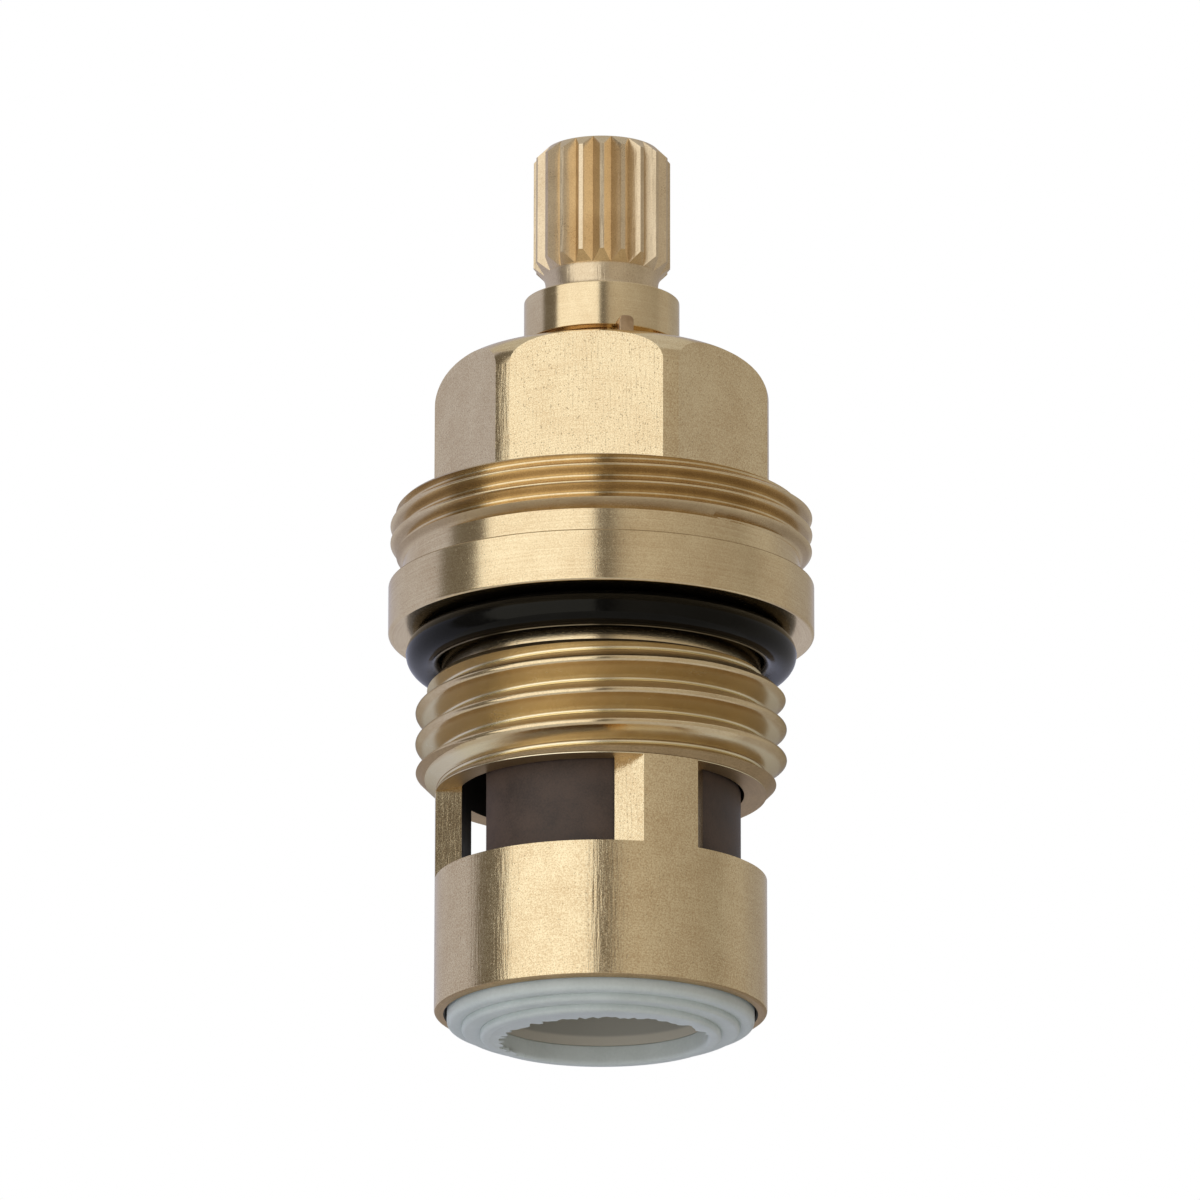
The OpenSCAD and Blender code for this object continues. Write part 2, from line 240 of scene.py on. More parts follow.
# %% Helpers for whole pieces
SMOOTH_BELOW, NORMAL_WEIGHT = 20, 100


def only(piece):
    """Selects one piece and makes it the active one."""
    bpy.ops.object.select_all(action="DESELECT")
    piece.select_set(True)
    bpy.context.view_layer.objects.active = piece


def combine(piece, tool, operation):
    """Joins, cuts or trims a piece with another one by a Boolean modifier, and drops the other one."""
    only(piece)
    bpy.ops.object.modifier_add(type="BOOLEAN")
    step = piece.modifiers[-1]
    step.operation = operation
    step.solver = "EXACT"
    step.object = tool
    bpy.ops.object.modifier_apply(modifier=step.name)
    bpy.data.objects.remove(tool)


def cut_level(height, side):
    """Cuts the mesh in edit mode at a height, drops the side named and closes the cut."""
    bpy.ops.mesh.select_all(action="SELECT")
    bpy.ops.mesh.bisect(plane_co=(0, 0, height * MM), plane_no=(0, 0, 1), use_fill=True,
                        threshold=MERGE / 10, **{side: True})


def smooth(piece, degrees=SMOOTH_BELOW):
    """Smooths a piece over edges flatter than this angle, with its big faces kept straight."""
    only(piece)
    bpy.ops.object.shade_smooth_by_angle(angle=math.radians(degrees))
    bpy.ops.object.modifier_add(type="WEIGHTED_NORMAL")
    step = piece.modifiers[-1]
    step.keep_sharp = True
    step.weight = NORMAL_WEIGHT
    bpy.ops.object.modifier_apply(modifier=step.name)


def radius_of(point):
    """The distance of a point from the spindle axis, in millimetres."""
    return math.hypot(point.x, point.y) / MM


def open_edges(piece):
    """Counts the edges that don't have a face on both sides. A closed piece has none."""
    form = bmesh.new()
    form.from_mesh(piece.data)
    count = sum(1 for edge in form.edges if len(edge.link_faces) != 2)
    form.free()
    return count


print("edges flatter than", SMOOTH_BELOW, "degrees are smoothed")

# %% [markdown]
# ## The core of the body
# The body is turned from brass bar. Its outline goes up the outside and down the axis. The two threads
# are left out for now: there the core stays just below the thread roots. The ring's bottom edge is
# well rounded on the real part, and the flange has finely broken edges.

# %% Turn the core
CORE_R, SHROUD_CORE_R, OVERLAP = 9.0, 11.2, 0.1
body = lathe("brass_body", [
    (0, Z_RING),
    (CAGE_R, Z_RING, 0.25),
    (CAGE_R, Z_THREAD - OVERLAP / 2),
    (CORE_R, Z_THREAD - OVERLAP / 2),
    (CORE_R, Z_RELIEF - OVERLAP),
    (RELIEF_R, Z_RELIEF - OVERLAP),
    (RELIEF_R, Z_FLANGE, 0.15),
    (FLANGE_R, Z_FLANGE, 0.2),
    (FLANGE_R, Z_UNDERCUT, 0.08),
    (UNDERCUT_R, Z_UNDERCUT, 0.1),
    (UNDERCUT_R, Z_SHROUD_CONE + OVERLAP),
    (SHROUD_CORE_R, Z_SHROUD_CONE + OVERLAP),
    (SHROUD_CORE_R, Z_HEX - OVERLAP),
    (0, Z_HEX - OVERLAP),
])
print("core:", len(body.data.polygons), "faces")

# %% [markdown]
# ## Real threads
# A thread could be a bump in the material, but then its outline would stay straight. Here one pitch of
# the profile is drawn, and the Screw modifier winds it up the axis. Two flat cuts close the coil to a
# rod, and a turned envelope trims the rod's ends to cones, as a lathe tool does.

# %% Wind a thread
THREAD_STEPS, SPARE_TURNS, CREST_STEPS = 160, 3, 8


def threaded_rod(name, crest_r, pitch, half_angle, crest, root, crest_z, span, steps=THREAD_STEPS):
    """A right-hand threaded rod whose crest passes the height crest_z at the front of the part."""
    slope = math.radians(half_angle)
    flank = pitch / 2 / math.tan(slope)
    tip = crest_r + crest * (1 / math.cos(slope) - math.tan(slope))
    turns = math.ceil((span[1] - span[0]) / pitch) + SPARE_TURNS
    low = crest_z - pitch * ((FRONT / (2 * math.pi)) % 1)
    low -= pitch * math.ceil((low - span[0]) / pitch + 1)
    rod = draw_outline(name, [
        (tip - flank / 2, low - pitch / 4),
        (tip, low, crest),
        (tip - flank, low + pitch / 2, root),
        (tip - flank / 2, low + pitch * 3 / 4),
    ], closed=False, round_steps=CREST_STEPS)
    bpy.ops.object.mode_set(mode="OBJECT")
    only(rod)
    bpy.ops.object.modifier_add(type="SCREW")
    coil = rod.modifiers[-1]
    coil.axis = "Z"
    coil.angle = 2 * math.pi
    coil.screw_offset = pitch * MM
    coil.iterations = turns
    coil.steps = coil.render_steps = steps
    bpy.ops.object.modifier_apply(modifier=coil.name)
    bpy.ops.object.mode_set(mode="EDIT")
    bpy.ops.mesh.select_mode(type="VERT")
    bpy.ops.mesh.select_all(action="SELECT")
    bpy.ops.mesh.remove_doubles(threshold=MERGE)
    cut_level(span[0], "clear_inner")
    cut_level(span[1], "clear_outer")
    return close_up(rod)


def end_cones(name, low, high, over):
    """A turned envelope between two cones of 45 degrees, given where each one meets the thread."""
    return lathe(name, [
        (0, low[1] - over),
        (low[0] - over, low[1] - over),
        (high[0] + over, low[1] + high[0] - low[0] + over),
        (high[0] + over, high[1] - over),
        (high[0] - over, high[1] + over),
        (0, high[1] + over),
    ])


print("a thread has", THREAD_STEPS, "steps a turn")

# %% [markdown]
# The main thread is a pipe thread of 14 turns to the inch, and the shroud thread has a pitch of one
# millimetre. Their places along the axis are chosen so that the crests at the front lie where they are
# in the photograph. Each rod starts a little below its lower cone.

# %% Cut both threads
MAIN_PITCH, MAIN_HALF_ANGLE, MAIN_CREST, MAIN_ROOT, MAIN_CREST_Z = 1.814, 27.5, 0.478, 0.4, 17.55
SHROUD_PITCH, SHROUD_HALF_ANGLE, SHROUD_CREST, SHROUD_ROOT, SHROUD_CREST_Z = 1.0, 30, 0.12, 0.25, 29.18
ROD_BELOW, MAIN_CONE_OVER, SHROUD_CONE_OVER = 0.3, 1.2, 0.7
main_thread = threaded_rod("main_thread", MAIN_R, MAIN_PITCH, MAIN_HALF_ANGLE, MAIN_CREST, MAIN_ROOT,
                           MAIN_CREST_Z, span=(Z_THREAD - ROD_BELOW, Z_RELIEF))
main_envelope = end_cones("main_envelope", (CAGE_R, Z_THREAD), (MAIN_R, Z_RELIEF - MAIN_CHAMFER),
                          MAIN_CONE_OVER)
combine(main_thread, main_envelope, "INTERSECT")
shroud_thread = threaded_rod("shroud_thread", SHROUD_R, SHROUD_PITCH, SHROUD_HALF_ANGLE, SHROUD_CREST,
                             SHROUD_ROOT, SHROUD_CREST_Z, span=(Z_SHROUD_CONE - ROD_BELOW, Z_HEX))
shroud_envelope = end_cones("shroud_envelope", (UNDERCUT_R, Z_SHROUD_CONE),
                            (SHROUD_R, Z_HEX - SHROUD_CHAMFER), SHROUD_CONE_OVER)
combine(shroud_thread, shroud_envelope, "INTERSECT")
print("threads:", len(main_thread.data.polygons), "and", len(shroud_thread.data.polygons), "faces")

# %% [markdown]
# ## The hexagon
# The spanner hexagon is a six-sided prism whose corners are turned off, with a rounded shoulder at the
# top. A cylinder with six sides is the start, and a turned envelope with one big rounded corner trims it.

# %% Cut the hexagon
HEX_LOW, HEX_HIGH, HEX_TRIM = Z_HEX - 0.6, Z_TOP + 1, 0.1
SHOULDER_STEPS, FLAT_AREA = 14, 4e-5
bpy.ops.object.select_all(action="DESELECT")
bpy.ops.mesh.primitive_cylinder_add(
    vertices=6, radius=HEX_AF / 2 / math.cos(math.pi / 6) * MM, depth=(HEX_HIGH - HEX_LOW) * MM,
    location=(0, 0, (HEX_HIGH + HEX_LOW) / 2 * MM), rotation=(0, 0, math.pi / 6),
)
hexagon = settle("hexagon")
combine(hexagon, lathe("hexagon_envelope", [
    (0, HEX_LOW + HEX_TRIM),
    (HEX_CORNER_R, HEX_LOW + HEX_TRIM),
    (HEX_CORNER_R, Z_TOP, HEX_ROUND),
    (0, Z_TOP),
], round_steps=SHOULDER_STEPS), "INTERSECT")
print("hexagon flats:", sum(1 for f in hexagon.data.polygons if f.area > FLAT_AREA))

# %% [markdown]
# ## Joining and boring
# The threads and the hexagon are joined to the core, and a stepped cutter bores it from end to end. It
# flares at both ends, which breaks the edges of the bore.

# %% Join and bore
MOUTH_CHAMFER, MOUTH_OVER, MOUTH_FLARE = 0.1, 0.2, 0.3
TOP_CHAMFER, TOP_OVER, TOP_FLARE = 0.15, 0.1, 0.25
for part in (main_thread, shroud_thread, hexagon):
    combine(body, part, "UNION")
combine(body, lathe("bore_cutter", [
    (0, Z_RING - MOUTH_OVER),
    (MOUTH_R + MOUTH_FLARE, Z_RING - MOUTH_OVER),
    (MOUTH_R, Z_RING + MOUTH_CHAMFER),
    (MOUTH_R, Z_MOUTH),
    (DISC_BORE_R, Z_MOUTH),
    (DISC_BORE_R, Z_SHOULDER),
    (SHANK_BORE_R, Z_SHOULDER),
    (SHANK_BORE_R, Z_TOP - TOP_CHAMFER),
    (SHANK_BORE_R + TOP_FLARE, Z_TOP + TOP_OVER),
    (0, Z_TOP + TOP_OVER),
]), "DIFFERENCE")
print("bored body:", len(body.data.polygons), "faces")

# %% [markdown]
# ## The three windows
# Boxes cut the windows of the cage. In the photograph the two sides of one window shine differently, so
# they don't lie in one plane: each window gets two boxes, turned a few degrees away from each other.

# %% Cut the windows
WINDOWS = 3
WINDOW_CHORD, WINDOW_TURN, WINDOW_SPLAY = 6.48, math.radians(0.9), math.radians(3.5)
CUTTER_DEPTH, CUTTER_WIDTH, CUTTER_ASIDE = 8, 14, 5
for turn in range(WINDOWS):
    for side in (-1, 1):
        cutter = block("window_cutter", (CUTTER_DEPTH, CUTTER_WIDTH, Z_LINTEL - Z_SILL),
                       (WINDOW_CHORD + CUTTER_DEPTH / 2, side * CUTTER_ASIDE, (Z_SILL + Z_LINTEL) / 2))
        turn_about_axis(cutter, turn * 2 * math.pi / WINDOWS + WINDOW_TURN + side * WINDOW_SPLAY)
        combine(body, cutter, "DIFFERENCE")
only(body)
bpy.ops.object.mode_set(mode="EDIT")
close_up(body)
print("body:", len(body.data.polygons), "faces,", open_edges(body), "open edges")

# %% [markdown]
# ## Shader sums as Python sums
# A finish is made of patterns, masks and mixes. Writing each Math node by hand is slow to read, so a
# small class wraps one socket: plus, minus and times then add the nodes. Patterns read Object
# coordinates in millimetres, so a grain keeps its real size on every piece.

# %% A wire of a node tree
def add_node(tree, kind, settings, sockets, output=0):
    """Adds a node, sets it up, links or fills its inputs, and returns one of its outputs."""
    made = tree.nodes.new(kind)
    for name, value in settings.items():
        setattr(made, name, value)
    for name, value in sockets.items():
        if isinstance(value, Wire):
            tree.links.new(value.socket, made.inputs[name])
        else:
            made.inputs[name].default_value = value
    return Wire(tree, made.outputs[output])


class Wire:
    """One output socket of a node tree, which can be used in sums."""

    def __init__(self, tree, socket):
        self.tree = tree
        self.socket = socket

    def node(self, kind, settings, sockets, output=0):
        return add_node(self.tree, kind, settings, sockets, output)

    def maths(self, operation, first, second=0.0):
        return self.node("ShaderNodeMath", {"operation": operation}, {0: first, 1: second})

    def __add__(self, other):
        return self.maths("ADD", self, other)

    def __sub__(self, other):
        return self.maths("SUBTRACT", self, other)

    def __mul__(self, other):
        return self.maths("MULTIPLY", self, other)

    def __rsub__(self, other):
        return self.maths("SUBTRACT", other, self)

    def ramp(self, low, high):
        """Rises smoothly from 0 to 1 between two values of this wire."""
        return self.node("ShaderNodeMapRange", {"interpolation_type": "SMOOTHSTEP"},
                         {"Value": self, "From Min": low, "From Max": high})

    def mix(self, first, second):
        """Mixes two colours, with this wire as the share of the second."""
        return self.node("ShaderNodeMix", {"data_type": "RGBA"}, {0: self, 6: first, 7: second}, output=2)

    def noise(self, vector, scale, detail, roughness=0.5):
        return self.node("ShaderNodeTexNoise", {}, {
            "Vector": vector, "Scale": scale, "Detail": detail, "Roughness": roughness})

    def vector(self, x, y, z):
        return self.node("ShaderNodeCombineXYZ", {}, {0: x, 1: y, 2: z})

    def surface(self, output="Material Output"):
        """Makes this wire the surface of its material, or of the world."""
        self.tree.links.new(self.socket, self.tree.nodes[output].inputs["Surface"])


print("a wire knows plus, minus and times")

# %% [markdown]
# ## The start of every finish
# A new material comes with its shader. To it we add a wire for the place in millimetres, which the
# patterns read, and where a finish needs them, wires for x, y, z and the distance from the axis.

# %% Helpers for finishes
def new_finish(name):
    """A new material, its shader, and a wire for the place in millimetres."""
    material = bpy.data.materials.new(name)
    material.use_nodes = True
    tree = material.node_tree
    raw = Wire(tree, tree.nodes.new("ShaderNodeTexCoord").outputs["Object"])
    place = raw.node("ShaderNodeVectorMath", {"operation": "SCALE"}, {0: raw, "Scale": 1 / MM})
    return material, tree.nodes["Principled BSDF"], place


def axes(place):
    """Wires for x, y, z and the distance from the axis, in millimetres."""
    x, y, z = (place.node("ShaderNodeSeparateXYZ", {}, {0: place}, output=i) for i in range(3))
    return x, y, z, place.maths("SQRT", x * x + y * y)


def feed(shader, socket, value):
    """Links a wire to the shader, or sets a plain value on its socket."""
    if isinstance(value, Wire):
        value.tree.links.new(value.socket, shader.inputs[socket])
    else:
        shader.inputs[socket].default_value = value


def bump(height, distance_mm):
    """A surface relief of this height in millimetres."""
    return height.node("ShaderNodeBump", {}, {"Height": height, "Distance": distance_mm * MM})


print("finishes read Object coordinates in millimetres")

# %% [markdown]
# ## Brass, as it comes off the machine
# Bare brass is a metal: its colour is the colour of its reflections, and a tint keeps it warm where it
# is seen at a flat angle. The turned faces carry fine lines round the axis, so a noise is stretched
# round it and squeezed along height plus radius, which works on cylinders, cones and flat faces alike.
# The hexagon and the cage look sanded: a dense fine grain, a few small dark pits, and streaks along
# the axis. Between the roots and the crests of a thread the tones can differ: the main thread's flanks
# are paler, and the shroud thread's flanks are darker, as painted shade.

# %% A recipe for brass
BRASS = (0.67, 0.49, 0.275, 1), (1.0, 0.84, 0.54, 1)
BRIGHT_BRASS = (1.0, 0.85, 0.55, 1), (1.0, 0.92, 0.67, 1)
WORN_BRASS = (0.62, 0.47, 0.29, 1), (0.94, 0.78, 0.54, 1)
# Darker brass tones, used as painted shade on downward faces, in recesses and on the shroud thread's flanks.
PAINTED_SHADE_TONES = (0.36, 0.25, 0.13, 1), (0.62, 0.46, 0.26, 1)
PIT_BROWN = (0.22, 0.15, 0.08, 1)
EDGE_TINT, DULL_EDGE_TINT = (0.98, 0.94, 0.85, 1), (0.55, 0.50, 0.40, 1)
LINES_ROUND, LINES_ALONG, LINES_OUT = 0.2, 13.0, 0.83
STREAKS_ROUND, STREAKS_ALONG = 6.0, 0.5
PIT_LOW, PIT_HIGH, PIT_SHARE = 0.74, 0.82, 0.4
FLANK_RISE, FLANK_FALL, FLANK_ROUGH = 0.25, 0.3, 0.1
BRASS_RELIEF_MM = 0.012


def brass(name, rough, lines, grain, streaks, tones=BRASS, roots=None, edge=EDGE_TINT):
    """Brass with lines round the axis, a sanded grain, streaks along it, and other tones in threads."""
    material, shader, place = new_finish(name)
    x, y, z, radius = axes(place)
    cloud = place.noise(place, scale=0.45, detail=4.0, roughness=0.6)
    fine = place.noise(place, scale=12.0, detail=2.0, roughness=0.6)
    lined = place.vector(x * LINES_ROUND, y * LINES_ROUND, (z + radius * LINES_OUT) * LINES_ALONG)
    turned = place.noise(lined, scale=1.0, detail=2.0, roughness=0.6)
    streaked = place.vector(x * STREAKS_ROUND, y * STREAKS_ROUND, z * STREAKS_ALONG)
    upright = place.noise(streaked, scale=1.0, detail=2.0)
    speck = place.noise(place, scale=9.0, detail=0.0).ramp(PIT_LOW, PIT_HIGH) * grain
    tint = ((cloud - 0.5) * 0.6 + (fine - 0.5) * (2.2 * grain) + (turned - 0.5) * lines + 0.5).ramp(0.0, 1.0)
    colour = (speck * PIT_SHARE).mix(tint.mix(*tones), PIT_BROWN)
    relief = turned * (0.3 * lines) + fine * (0.45 * grain) + upright * streaks - speck * PIT_SHARE
    roughness = (cloud - 0.5) * 0.1 + (fine - 0.5) * (0.2 * grain) + rough
    if roots:
        low, high, share, flank_tones = roots
        flank = radius.ramp(low, low + FLANK_RISE) * (1 - radius.ramp(high - FLANK_FALL, high))
        colour = (flank * share).mix(colour, tint.mix(*flank_tones))
        roughness = roughness + flank * FLANK_ROUGH
    feed(shader, "Base Color", colour)
    feed(shader, "Metallic", 1.0)
    feed(shader, "Specular Tint", edge)
    feed(shader, "Roughness", roughness)
    feed(shader, "Normal", bump(relief, BRASS_RELIEF_MM))
    return material


print("tones of plain brass:", BRASS)

# %% [markdown]
# The recipe is used seven times, and the darkest of them is painted shade. The bore gets painted shade
# too: a near-black finish of its own that is no metal.

# %% Brass finishes
MAIN_ROOTS = MAIN_R - 1.6, MAIN_R - 0.2, 1.0, BRIGHT_BRASS
# The shroud thread's flanks take the darker brass tones as painted shade.
SHROUD_ROOTS = SHROUD_R - 0.7, SHROUD_R - 0.02, 0.75, PAINTED_SHADE_TONES
turned_brass = brass("turned_brass", rough=0.16, lines=0.55, grain=0.45, streaks=0.0)
stem_brass = brass("stem_brass", rough=0.15, lines=0.3, grain=0.25, streaks=0.0)
sanded_brass = brass("sanded_brass", rough=0.17, lines=0.35, grain=0.85, streaks=0.9)
main_thread_brass = brass("main_thread_brass", rough=0.15, lines=0.2, grain=0.35, streaks=0.0,
                          roots=MAIN_ROOTS, edge=DULL_EDGE_TINT)
shroud_thread_brass = brass("shroud_thread_brass", rough=0.15, lines=0.2, grain=0.35, streaks=0.0,
                            roots=SHROUD_ROOTS)
spline_brass = brass("spline_brass", rough=0.30, lines=0.1, grain=0.4, streaks=1.0, tones=WORN_BRASS)
# A darker, rougher brass that is painted shade where the body lies in its own shadow.
painted_shade_brass = brass("painted_shade_brass", rough=0.45, lines=0.4, grain=0.5, streaks=0.0, tones=PAINTED_SHADE_TONES)


def painted_shade_bore():
    """Painted shade: a near-black, mottled non-metal for the bore and the hidden drive."""
    material, shader, place = new_finish("bore_painted_shade")
    shade_mottle = place.noise(place, scale=1.2, detail=3.0)
    feed(shader, "Base Color", shade_mottle.mix((0.010, 0.008, 0.006, 1), (0.035, 0.026, 0.018, 1)))
    feed(shader, "Roughness", shade_mottle * 0.3 + 0.4)
    feed(shader, "Normal", bump(shade_mottle, 0.01))
    return material


bore_finish = painted_shade_bore()
print("brass finishes:", [m.name for m in bpy.data.materials if "brass" in m.name])

# %% [markdown]
# ## Which face gets which finish
# The body is one piece with several finishes. Faces are chosen by their place and their normal: those
# that look towards the axis are the bore, which is painted near-black as painted shade, the cage and the
# hexagon's flats are sanded, and the threads have finishes of their own. A darker, rougher brass is
# painted shade on the bottom of the ring, the windows' ceilings, the upper edge of the flange, the cone
# below the main thread and the upper sides of that thread. The rest is turned.

# %% Dress the body
TURNED, SANDED, MAIN_THREAD, SHROUD_THREAD, PAINTED_SHADE, BORED = range(6)
INWARD, LEVEL, STEEP, SLOPED, UPRIGHT = 0.2, 0.9, 0.8, 0.6, 0.02
NEAR, CLOSE, HAIR = 0.1, 0.02, 0.01
BORE_SLACK, BORE_EDGE, RING_EDGE, CONE_EDGE = 0.05, 0.2, 0.12, 0.2


def body_finish(face):
    """The number of the finish of one face of the body."""
    middle, normal = face.center, face.normal
    height, radius = middle.z / MM, radius_of(middle)
    inward = middle.x * normal.x + middle.y * normal.y < -INWARD * radius * MM
    # Faces of the bore get the near-black finish, which is painted shade.
    if inward and radius < MOUTH_R + BORE_SLACK and height < Z_TOP - BORE_EDGE:
        return BORED
    if Z_MOUTH - NEAR < height < Z_SHOULDER + NEAR and radius < DISC_BORE_R + CLOSE:
        return BORED
    # The darker brass chosen below is painted shade: the ring's bottom, the windows' ceilings, the flange's
    # upper edge, the cone under the main thread and that thread's upper sides.
    if height < Z_RING + RING_EDGE and normal.z < -SLOPED:
        return PAINTED_SHADE
    if height < Z_LINTEL + CLOSE:
        return PAINTED_SHADE if normal.z < -LEVEL else SANDED
    if abs(height - Z_UNDERCUT) < NEAR and radius > UNDERCUT_R + NEAR:
        return PAINTED_SHADE
    if height < Z_THREAD + MAIN_CHAMFER and -STEEP < normal.z < -SLOPED:
        return PAINTED_SHADE
    if height < Z_RELIEF:
        return PAINTED_SHADE if normal.z > SLOPED else MAIN_THREAD
    if Z_SHROUD_CONE - CONE_EDGE < height < Z_HEX - HAIR:
        return SHROUD_THREAD
    if height > Z_HEX + HAIR and abs(normal.z) < UPRIGHT:
        return SANDED
    return TURNED


body_finishes = turned_brass, sanded_brass, main_thread_brass, shroud_thread_brass, painted_shade_brass, bore_finish
for finish in body_finishes:
    body.data.materials.append(finish)
for face in body.data.polygons:
    face.material_index = body_finish(face)
smooth(body)
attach(body, "housing")
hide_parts("headwork_body")
counts = [sum(1 for f in body.data.polygons if f.material_index == i) for i in range(len(body_finishes))]
print("faces of each finish:", counts)

# %% [markdown]
# ## The spindle's head
# Above the hexagon the spindle shows a clip groove, a collar, a thin neck and a spline of twenty teeth
# for the handle. The stem up to the spline is turned, with fine roundings at its edges.

# %% Turn the stem
Z_CUT, Z_COLLAR, Z_NECK, Z_SPLINE, Z_END = 36.0, 40.72, 43.32, 44.74, 52.39
GROOVE_R, NECK_R, HEAD_STEPS = 3.65, 3.225, 128
spindle_head = lathe("spindle_head", [
    (0, Z_CUT),
    (SHANK_R, Z_CUT),
    (SHANK_R, Z_TOP, 0.06),
    (GROOVE_R, Z_TOP, 0.1),
    (GROOVE_R, Z_COLLAR, 0.1),
    (SHANK_R, Z_COLLAR, 0.08),
    (SHANK_R, Z_NECK, 0.08),
    (NECK_R, Z_NECK, 0.6),
    (NECK_R, Z_SPLINE - 0.1, 0.4),
    (NECK_R + 0.15, Z_SPLINE + 0.1),
    (NECK_R - 0.2, Z_SPLINE + 0.4),
    (0, Z_SPLINE + 0.4),
], steps=HEAD_STEPS)
print("stem:", len(spindle_head.data.polygons), "faces")

# %% [markdown]
# The spline is a twenty-toothed star, drawn tooth by tooth, extruded and trimmed by cones at both ends,
# which leaves the small arrowheads that the real teeth have.

# %% Cut the spline
TIP_R, ROOT_R, TEETH, LAND = 3.92, 3.3, 20, 0.25
CONE_OVER, TIP_CHAMFER, STAR_ABOVE_NECK = 0.385, 0.65, 0.3


def spline_star():
    """A toothed prism along the axis."""
    pitch = 2 * math.pi / TEETH
    half_land = math.asin(LAND / 2 / TIP_R)
    corners = []
    for tooth in range(TEETH):
        for angle, radius in ((-half_land, TIP_R), (half_land, TIP_R), (pitch / 2, ROOT_R)):
            turn = FRONT + tooth * pitch + angle
            corners.append((radius * math.cos(turn), radius * math.sin(turn), Z_NECK + STAR_ABOVE_NECK))
    return prism("spline_star", corners, Z_END - Z_NECK)


star = spline_star()
combine(star, lathe("spline_envelope", [
    (0, Z_SPLINE - CONE_OVER),
    (NECK_R - CONE_OVER, Z_SPLINE - CONE_OVER),
    (TIP_R + CONE_OVER, Z_SPLINE + TIP_R + CONE_OVER - NECK_R),
    (TIP_R + CONE_OVER, Z_END - TIP_CHAMFER - CONE_OVER),
    (TIP_R - TIP_CHAMFER, Z_END),
    (0, Z_END),
], steps=HEAD_STEPS), "INTERSECT")
combine(spindle_head, star, "UNION")
print("spindle head:", len(spindle_head.data.polygons), "faces,", TEETH, "teeth")

# %% [markdown]
# ## The tapped hole
# A screw holds the handle, so the spindle's end has a tapped hole. The same thread helper makes a small
# rod, which is cut out of the spindle, with a countersink at its mouth. Neck and teeth get a rougher,
# duller brass than the turned stem, because the teeth are pressed and a little worn.

# %% Tap the hole and dress the head
TAP_R, TAP_PITCH, TAP_HALF_ANGLE, TAP_CREST, TAP_ROOT, TAP_CREST_Z = 2.0, 0.7, 30, 0.06, 0.08, 48.0
TAP_DEPTH, TAP_OVER, TAP_STEPS = 10, 0.5, 64
SINK_R, SINK_DEPTH, SINK_OVER, SINK_STEPS = 2.3, 2.1, 0.2, 96
tap = threaded_rod("tap", TAP_R, TAP_PITCH, TAP_HALF_ANGLE, TAP_CREST, TAP_ROOT, TAP_CREST_Z,
                   span=(Z_END - TAP_DEPTH, Z_END + TAP_OVER), steps=TAP_STEPS)
combine(spindle_head, tap, "DIFFERENCE")
combine(spindle_head, lathe("countersink", [
    (0, Z_END - SINK_DEPTH), (SINK_R, Z_END + SINK_OVER), (0, Z_END + SINK_OVER),
], steps=SINK_STEPS), "DIFFERENCE")
for finish in (stem_brass, spline_brass):
    spindle_head.data.materials.append(finish)
for face in spindle_head.data.polygons:
    above = face.center.z > (Z_NECK + NEAR) * MM
    face.material_index = int(above and radius_of(face.center) > NECK_R - NEAR)
smooth(spindle_head)
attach(spindle_head, "spindle_unit")
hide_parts("spindle")
print("tapped head:", len(spindle_head.data.polygons), "faces,", open_edges(spindle_head), "open edges")

# %% [markdown]
# ## The hidden lower end of the spindle
# Inside the body the spindle carries two rubber rings and the driver that turns the upper disc. The solid
# already has the right shape there, so a merged copy of it is cut off below the head and closed.

# %% Copy the drive
spindle_drive = nodes["spindle"].copy()
spindle_drive.data = nodes["spindle"].data.copy()
spindle_drive.name = spindle_drive.data.name = "spindle_drive"
bpy.context.scene.collection.objects.link(spindle_drive)
spindle_drive.hide_render = spindle_drive.hide_viewport = False
for key in list(spindle_drive.keys()):
    del spindle_drive[key]
spindle_drive.parent = None
only(spindle_drive)
bpy.ops.mesh.customdata_custom_splitnormals_clear()
bpy.ops.object.mode_set(mode="EDIT")
bpy.ops.mesh.select_all(action="SELECT")
bpy.ops.mesh.remove_doubles(threshold=MERGE)
cut_level(Z_CUT, "clear_outer")
close_up(spindle_drive)
smooth(spindle_drive, degrees=30)
spindle_drive.data.materials.clear()
# The drive gets the bore's near-black finish, which is painted shade.
spindle_drive.data.materials.append(bore_finish)
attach(spindle_drive, "spindle_unit")
print("drive:", len(spindle_drive.data.polygons), "faces")

# %% [markdown]
# ## The retaining clip
# A sprung bronze strip snaps into the groove below the collar, and one end is turned up in front of it.
# The flat ring is spun over most of a turn from a small rounded outline.

# %% Spin the clip
CLIP_LOW, CLIP_H, CLIP_ROUND, CLIP_STEPS = Z_TOP + 0.05, 0.8, 0.1, 96
CLIP_BORE_R, CLIP_R, EAR_R, EAR_T, EAR_W = 3.7, 5.193, 4.575, 0.55, 0.85
EAR_ANGLE, CLIP_OPENING = math.radians(-68), math.radians(70)
clip = draw_outline("clip", [
    (CLIP_BORE_R, CLIP_LOW, CLIP_ROUND),
    (CLIP_R, CLIP_LOW, CLIP_ROUND),
    (CLIP_R, CLIP_LOW + CLIP_H, CLIP_ROUND),
    (CLIP_BORE_R, CLIP_LOW + CLIP_H, CLIP_ROUND),
])
bpy.ops.mesh.select_all(action="SELECT")
bpy.ops.mesh.edge_face_add()
clip_start = EAR_ANGLE - math.atan(EAR_W / EAR_R)
bpy.ops.mesh.select_all(action="SELECT")
bpy.ops.transform.rotate(value=-clip_start, orient_axis="Z", center_override=(0, 0, 0))
bpy.ops.mesh.spin(steps=CLIP_STEPS, angle=2 * math.pi - CLIP_OPENING, center=(0, 0, 0), axis=(0, 0, 1))
close_up(clip)
turned_to = sorted(round(math.degrees(math.atan2(v.co.y, v.co.x))) for v in clip.data.vertices)
print("clip from", turned_to[0], "to", turned_to[-1], "degrees")

# %% [markdown]
# The upturned end is a block. Its two upper corners are well rounded, all its edges are broken, and it
# is joined to the ring.

